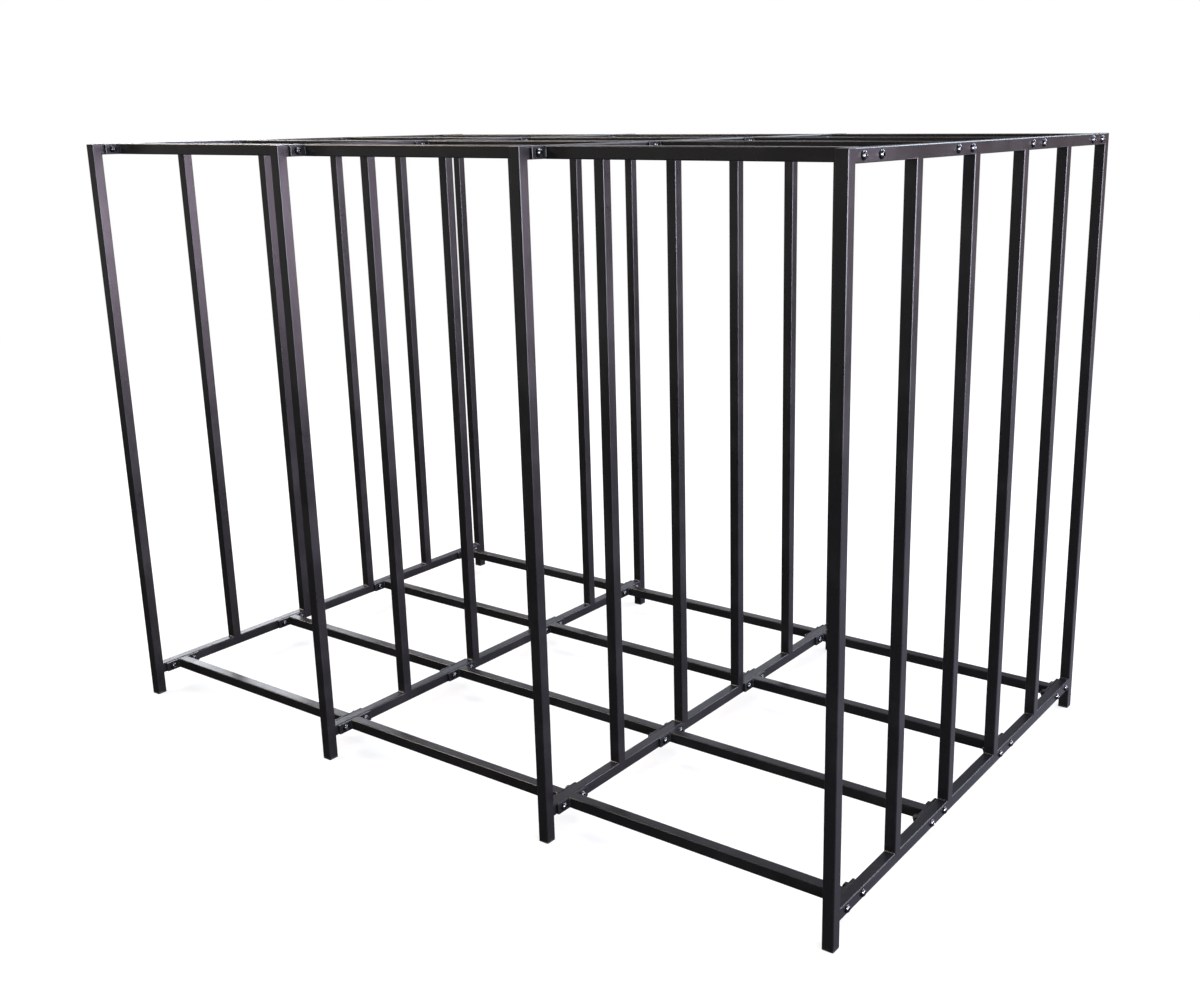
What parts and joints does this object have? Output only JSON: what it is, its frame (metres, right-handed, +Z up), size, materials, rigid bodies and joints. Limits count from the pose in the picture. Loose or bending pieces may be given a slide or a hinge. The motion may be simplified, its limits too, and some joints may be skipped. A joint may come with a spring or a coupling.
{
  "type": "firewood log rack",
  "caption": "Free-standing firewood rack of square steel tube: open ladder panels joined by bolted cross rails at the floor and the top, with open bays for stacked logs.",
  "frame": {"origin": "on the floor, in the middle of the rack", "axes": "+Z up, +X along the row of panels towards the bolt heads, +Y from the front to the rear"},
  "size_m": [1.6748, 1.02, 1.15],
  "materials": {
    "panel_coat": "satin black powder coat",
    "rail_coat": "satin black powder coat",
    "fasteners": "semi-gloss black oxide steel"
  },
  "bodies": {
    "root": {"ladder_panel_1": "panel_coat", "ladder_panel_2": "panel_coat", "ladder_panel_3": "panel_coat", "ladder_panel_4": "panel_coat", "bottom_rail_bay1_1": "rail_coat", "bottom_rail_bay1_2": "rail_coat", "bottom_rail_bay1_3": "rail_coat", "bottom_rail_bay1_4": "rail_coat", "top_rail_bay1_1": "rail_coat", "top_rail_bay1_2": "rail_coat", "top_rail_bay1_3": "rail_coat", "top_rail_bay1_4": "rail_coat", "bottom_rail_bay2_1": "rail_coat", "bottom_rail_bay2_2": "rail_coat", "bottom_rail_bay2_3": "rail_coat", "bottom_rail_bay2_4": "rail_coat", "top_rail_bay2_1": "rail_coat", "top_rail_bay2_2": "rail_coat", "top_rail_bay2_3": "rail_coat", "top_rail_bay2_4": "rail_coat", "bottom_rail_bay3_1": "rail_coat", "bottom_rail_bay3_2": "rail_coat", "bottom_rail_bay3_3": "rail_coat", "bottom_rail_bay3_4": "rail_coat", "top_rail_bay3_1": "rail_coat", "top_rail_bay3_2": "rail_coat", "top_rail_bay3_3": "rail_coat", "top_rail_bay3_4": "rail_coat", "bolt_panel1_bottom_1": "fasteners", "bolt_panel1_bottom_2": "fasteners", "bolt_panel1_bottom_3": "fasteners", "bolt_panel1_bottom_4": "fasteners", "bolt_panel1_top_1": "fasteners", "bolt_panel1_top_2": "fasteners", "bolt_panel1_top_3": "fasteners", "bolt_panel1_top_4": "fasteners", "bolt_panel2_bottom_1": "fasteners", "bolt_panel2_bottom_2": "fasteners", "bolt_panel2_bottom_3": "fasteners", "bolt_panel2_bottom_4": "fasteners", "bolt_panel2_top_1": "fasteners", "bolt_panel2_top_2": "fasteners", "bolt_panel2_top_3": "fasteners", "bolt_panel2_top_4": "fasteners", "bolt_panel3_bottom_1": "fasteners", "bolt_panel3_bottom_2": "fasteners", "bolt_panel3_bottom_3": "fasteners", "bolt_panel3_bottom_4": "fasteners", "bolt_panel3_top_1": "fasteners", "bolt_panel3_top_2": "fasteners", "bolt_panel3_top_3": "fasteners", "bolt_panel3_top_4": "fasteners", "bolt_panel4_bottom_1": "fasteners", "bolt_panel4_bottom_2": "fasteners", "bolt_panel4_bottom_3": "fasteners", "bolt_panel4_bottom_4": "fasteners", "bolt_panel4_top_1": "fasteners", "bolt_panel4_top_2": "fasteners", "bolt_panel4_top_3": "fasteners", "bolt_panel4_top_4": "fasteners"}
  },
  "joints": []
}
